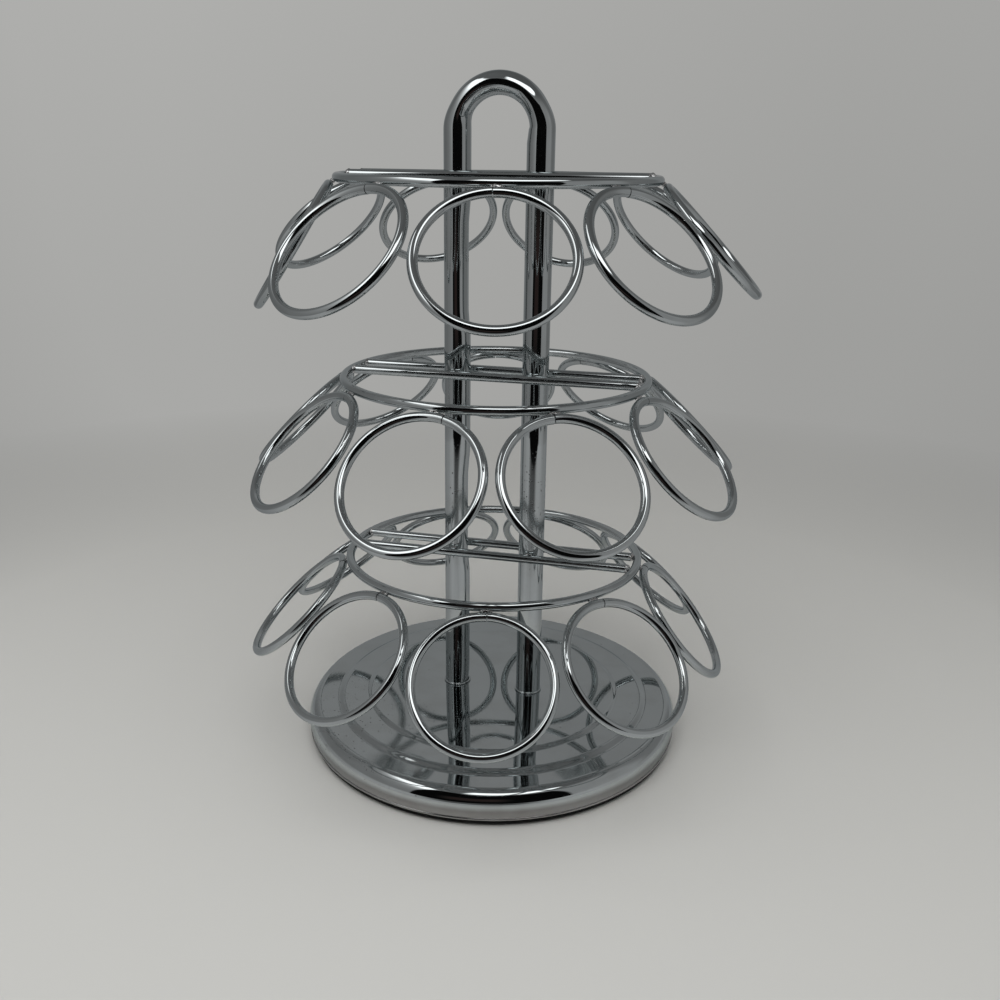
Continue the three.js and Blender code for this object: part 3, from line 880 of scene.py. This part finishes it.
FLOOR_FLAT_RADIUS = 0.7
SWEEP_RADIUS = 0.5
WALL_TOP = 0.9
TENT_RADIUS = 0.38
TENT_FOOT = 0.0004
TENT_TOP = 1.4
FLOOR_SEEN_RADIUS = 0.09  # nearer than this the chrome sees the real floor, with its shadows
FLOOR_SEEN_FADE = 0.05
OPENING = (-40.5, 41)  # degrees from the camera's side, positive to its right
LIP_REACH = 0.305  # how far in front of the object the opening's straight lip lies
LIP_HEIGHT = 0.029
LEFT_GLOW = 1.8
FRONT_GLOW = 2.0
OPENING_LIGHT = 0.003
SLEEVE_LIGHT = 0.02  # how much the warm patch inside the opening adds to that
OPENING_SHADE = 0.1  # the floor's light close to the lip
SOFTBOX_PLACE = (-15, 0.46, 0.85)  # degrees from the camera's side, distance and height
SOFTBOX_SIZE = (1.0, 1.0)
SOFTBOX_WATTS = 8.1


def make_camera():
    """The camera, at the picture's angle."""
    data = bpy.data.cameras.new("camera")
    data.lens = 36
    data.sensor_width = 36
    data.clip_start = 0.01
    camera = bpy.data.objects.new("camera", data)
    bpy.context.scene.collection.objects.link(camera)
    ahead = (CAMERA_AIM - CAMERA_PLACE).normalized()
    right = ahead.cross(Vector((0, 0, 1))).normalized()
    up = right.cross(ahead)
    c = math.cos(CAMERA_ROLL)
    s = math.sin(CAMERA_ROLL)
    tilted_right = c * right + s * up
    tilted_up = c * up - s * right
    rows = Matrix((tilted_right, tilted_up, -ahead)).transposed()
    camera.matrix_world = Matrix.Translation(CAMERA_PLACE) @ rows.to_4x4()
    bpy.context.scene.camera = camera


def around(angle, radius, height=0.0):
    """A point at an angle from the camera's side, positive to the camera's right."""
    turn = TOWARDS_CAMERA + angle
    return Vector((radius * math.sin(turn), -radius * math.cos(turn), height))


def tent_level(tree, vector):
    """The tent's brightness in a direction from the object: darker at the sides than behind."""
    back = -around(0, 1.0)
    right = around(math.pi / 2, 1.0)
    flat = add_node(tree, "ShaderNodeVectorMath", {0: vector, 1: (1, 1, 0)}, operation="MULTIPLY")
    unit = add_node(tree, "ShaderNodeVectorMath", {0: flat.outputs[0]}, operation="NORMALIZE")
    behind = add_node(tree, "ShaderNodeVectorMath", {0: unit.outputs[0], 1: back}, operation="DOT_PRODUCT")
    aside = add_node(tree, "ShaderNodeVectorMath", {0: unit.outputs[0], 1: right}, operation="DOT_PRODUCT")
    base = remapped(tree, aside.outputs["Value"], -1, 1, 0.2, 0.3)
    share = remapped(tree, behind.outputs["Value"], 0.1, 0.85)
    wall = remapped(tree, aside.outputs["Value"], -0.4, 0.4, 0.43, 0.375)
    extra = combined(tree, "MULTIPLY", share, combined(tree, "SUBTRACT", wall, base))
    return combined(tree, "ADD", base, extra)


def make_sweep_material():
    """Matt pale paper on the floor, which turns into the lit wall of the tent."""
    material, tree, shader = new_material("studio_paper")
    where = place(tree)
    shader.inputs["Base Color"].default_value = (0.6, 0.598, 0.575, 1.0)
    shader.inputs["Roughness"].default_value = 0.95
    shader.inputs["Specular IOR Level"].default_value = 0.1
    level = tent_level(tree, where)
    parts = add_node(tree, "ShaderNodeSeparateXYZ", {"Vector": where})
    height = parts.outputs["Z"]
    lower = remapped(tree, height, 0.05, 0.5, 0.92, 1.0)
    upper = remapped(tree, height, 0.5, 0.9, 1.0, 0.72)
    level = combined(tree, "MULTIPLY", level, combined(tree, "MULTIPLY", lower, upper))
    colour = add_node(tree, "ShaderNodeCombineColor", {
        "Red": level,
        "Green": level,
        "Blue": combined(tree, "MULTIPLY", level, 0.974),
    })
    glow = add_node(tree, "ShaderNodeEmission", {"Color": colour.outputs[0], "Strength": 1.0})
    flat = add_node(tree, "ShaderNodeVectorMath", {0: where, 1: (1, 1, 0)}, operation="MULTIPLY")
    reach = add_node(tree, "ShaderNodeVectorMath", {0: flat.outputs[0]}, operation="LENGTH")
    share = remapped(tree, reach.outputs["Value"], 0.3, 0.64)
    mix = add_node(tree, "ShaderNodeMixShader", {0: share, 1: shader.outputs[0], 2: glow.outputs[0]})
    tree.links.new(mix.outputs[0], tree.nodes["Material Output"].inputs["Surface"])
    return material


def make_sweep():
    """The floor and the wall it curves up into, all round the object."""
    outline = [(0.02, 0.0), (0.1, 0.0), (0.3, 0.0), (0.5, 0.0)]
    outline += arc((FLOOR_FLAT_RADIUS, SWEEP_RADIUS), (SWEEP_RADIUS, SWEEP_RADIUS), -90, 0, 24)
    outline += [(FLOOR_FLAT_RADIUS + SWEEP_RADIUS, WALL_TOP)]
    bm = bmesh.new()
    rows = turned_rows(bm, outline, 128)
    join_rows(bm, rows)
    bm.faces.new(rows[0])
    bmesh.ops.recalc_face_normals(bm, faces=bm.faces)
    mesh = bpy.data.meshes.new("studio_sweep")
    bm.to_mesh(mesh)
    bm.free()
    mesh.shade_smooth()
    mesh.materials.append(make_sweep_material())
    sweep = bpy.data.objects.new("studio_sweep", mesh)
    bpy.context.scene.collection.objects.link(sweep)


def between(value, low, high, soft):
    """1 from low to high and 0 outside, changing evenly over a soft width at both ends."""
    rise = smooth_step((value - low) / soft + 0.5)
    return rise * smooth_step((high - value) / soft + 0.5)


def opening_top(angle):
    """The top of the dark opening in the tent. Angles are in degrees from the camera's side."""
    return min(0.54, max(0.43, 0.5 - 0.0017 * angle))


def left_glow(angle, height):
    """The cloth at the left, which a lamp behind it lights in a slanting band."""
    low = 0.42 + 0.0052 * (-45 - angle)
    high = min(0.79, 0.6 + 0.0085 * (-45 - angle), 0.79 + 0.013 * (98 + angle))
    below = math.exp(min(0.0, height - low) / 0.07)
    lit = below * (1 - smooth_step((height - high) / 0.08 + 0.5))
    return LEFT_GLOW * lit * between(angle, -115, -39, 8)


def front_glow(angle, height):
    """The lit panel over the opening."""
    low = max(opening_top(angle), 0.52 + 0.00005 * (angle - 5) ** 2)
    high = 1.15 - 0.004 * max(0.0, angle)
    lit = smooth_step((height - low) / 0.05) * (1 - smooth_step((height - high) / 0.2 + 0.5))
    return FRONT_GLOW * lit * between(angle, -20, 66, 8)


def tent_cloth(angle, height):
    """The tent's unlit cloth: pale low down, dim at the back corners and overhead."""
    left = 0.5 - 0.5 * math.sin(math.radians(angle))
    corner = between(abs(angle), 88, 132, 16)
    side = 0.33 - 0.11 * left - (0.12 - 0.09 * left) * corner
    behind = smooth_step((abs(angle) - 132) / 24)
    low = side + (0.25 + 0.06 * left - side) * behind
    low += (seen_floor(angle) - low) * (1 - smooth_step(height / 0.06))
    return low + (0.12 + 0.03 * left - low) * smooth_step((height - 0.38) / 0.3)


def seen_tent(angle, height):
    """The light that the chrome gets from the tent, at an angle and a height, and its warmth."""
    cloth = tent_cloth(angle, height) + left_glow(angle, height) + front_glow(angle, height)
    inside = between(angle, *OPENING, 1.2) * between(height, -1, opening_top(angle), 0.012)
    sleeve = between(angle, -24, 8, 12) * between(height, 0.1, 0.2, 0.05)
    return cloth + (OPENING_LIGHT + SLEEVE_LIGHT * sleeve - cloth) * inside, sleeve * inside


def seen_floor(angle, radius=TENT_RADIUS):
    """The light that the chrome gets from the floor: brighter in front, up to the lip's shade."""
    lit = 0.3 + 0.12 * between(abs(angle), -1, 75, 60)
    shade = between(angle, -30, 22, 24) * smooth_step((radius - 0.17) / 0.12)
    return lit + (OPENING_SHADE - lit) * shade


def reflected_tent_material():
    """Light of each point's own level, clear where the real floor is to be seen instead."""
    material, tree, _ = new_material("reflected_tent")
    level, warmth, solid = (
        add_node(tree, "ShaderNodeAttribute", attribute_name=name).outputs["Fac"]
        for name in ("light", "warmth", "solid")
    )
    folds = remapped(tree, noise_value(tree, place(tree), 7, 3.0), 0.3, 0.7, 0.93, 1.07)
    strength = combined(tree, "MULTIPLY", level, folds)
    colour = mixed_colour(tree, warmth, grey(1.0), (1.25, 0.82, 0.76, 1.0))
    glow = add_node(tree, "ShaderNodeEmission", {"Color": colour, "Strength": strength})
    clear = add_node(tree, "ShaderNodeBsdfTransparent")
    mix = add_node(tree, "ShaderNodeMixShader", {0: solid, 1: clear.outputs[0], 2: glow.outputs[0]})
    tree.links.new(mix.outputs[0], tree.nodes["Material Output"].inputs["Surface"])
    return material


def tent_column(angle):
    """The tent's outline at an angle: radius, height, light, warmth and how solid it is there.

    It runs out along the floor, over the low straight lip of the opening, and up the cloth.
    """
    ahead = math.cos(math.radians(angle))
    lip = min(TENT_RADIUS, LIP_REACH / ahead) if ahead > 0.1 else TENT_RADIUS
    column = []
    for radius in np.linspace(FLOOR_SEEN_RADIUS, lip, 24).tolist():
        solid = smooth_step((radius - FLOOR_SEEN_RADIUS) / FLOOR_SEEN_FADE)
        column.append((radius, TENT_FOOT, seen_floor(angle, radius), 0.0, solid))
    column.append((lip, LIP_HEIGHT, seen_floor(angle), 0.0, 1.0))
    column.append((lip + TENT_FOOT, LIP_HEIGHT, *seen_tent(angle, LIP_HEIGHT), 1.0))
    for height in np.linspace(LIP_HEIGHT, TENT_TOP, 320).tolist():
        column.append((TENT_RADIUS + 2 * TENT_FOOT, height, *seen_tent(angle, height), 1.0))
    return column


def make_reflected_tent():
    """The tent as only the chrome sees it: the lit panels and the dark opening round the camera."""
    bm = bmesh.new()
    layers = [bm.verts.layers.float.new(name) for name in ("light", "warmth", "solid")]
    columns = []
    for angle in range(-180, 180):
        column = []
        for radius, height, *values in tent_column(angle):
            vertex = bm.verts.new(around(math.radians(angle), radius, height))
            for layer, value in zip(layers, values):
                vertex[layer] = value
            column.append(vertex)
        columns.append(column)
    rows = [list(row) for row in zip(*columns)]
    join_rows(bm, rows)
    bm.faces.new(rows[-1])
    mesh = bpy.data.meshes.new("reflected_tent")
    bm.to_mesh(mesh)
    bm.free()
    mesh.materials.append(reflected_tent_material())
    tent = bpy.data.objects.new("reflected_tent", mesh)
    bpy.context.scene.collection.objects.link(tent)
    tent.visible_camera = False
    tent.visible_diffuse = False
    tent.visible_shadow = False
    tent.visible_transmission = False


def make_softbox():
    """A soft square light that faces down, square to the camera. The chrome doesn't see it."""
    angle, distance, height = SOFTBOX_PLACE
    data = bpy.data.lights.new("softbox", "AREA")
    data.shape = "RECTANGLE"
    data.size = SOFTBOX_SIZE[0]
    data.size_y = SOFTBOX_SIZE[1]
    data.energy = SOFTBOX_WATTS
    lamp = bpy.data.objects.new("softbox", data)
    bpy.context.scene.collection.objects.link(lamp)
    lamp.location = around(math.radians(angle), distance, height)
    lamp.rotation_euler = (0, 0, TOWARDS_CAMERA)
    lamp.visible_glossy = False
    lamp.visible_camera = False


def make_world():
    """The tent above the wall."""
    world = bpy.data.worlds.new("tent")
    bpy.context.scene.world = world
    world.use_nodes = True
    tree = world.node_tree
    where = add_node(tree, "ShaderNodeTexCoord").outputs["Generated"]
    level = combined(tree, "MULTIPLY", tent_level(tree, where), 0.72)
    tree.links.new(level, tree.nodes["Background"].inputs["Color"])


# ---- Making it all ----


def main():
    """Builds every piece, then the studio."""
    materials = make_materials()
    make_camera()
    for tier in TIERS:
        make_tier(tier, materials)
    make_handle(materials)
    make_post_seats(materials)
    make_cover(materials)
    make_base_plate(materials)
    for number in range(1, 5):
        make_pad(number, materials)
    for number in range(1, 7):
        make_ball(number, materials)
    finish_inner_pieces(materials)
    make_sweep()
    make_reflected_tent()
    make_softbox()
    make_world()
    bpy.context.scene.view_settings.view_transform = "Standard"


main()
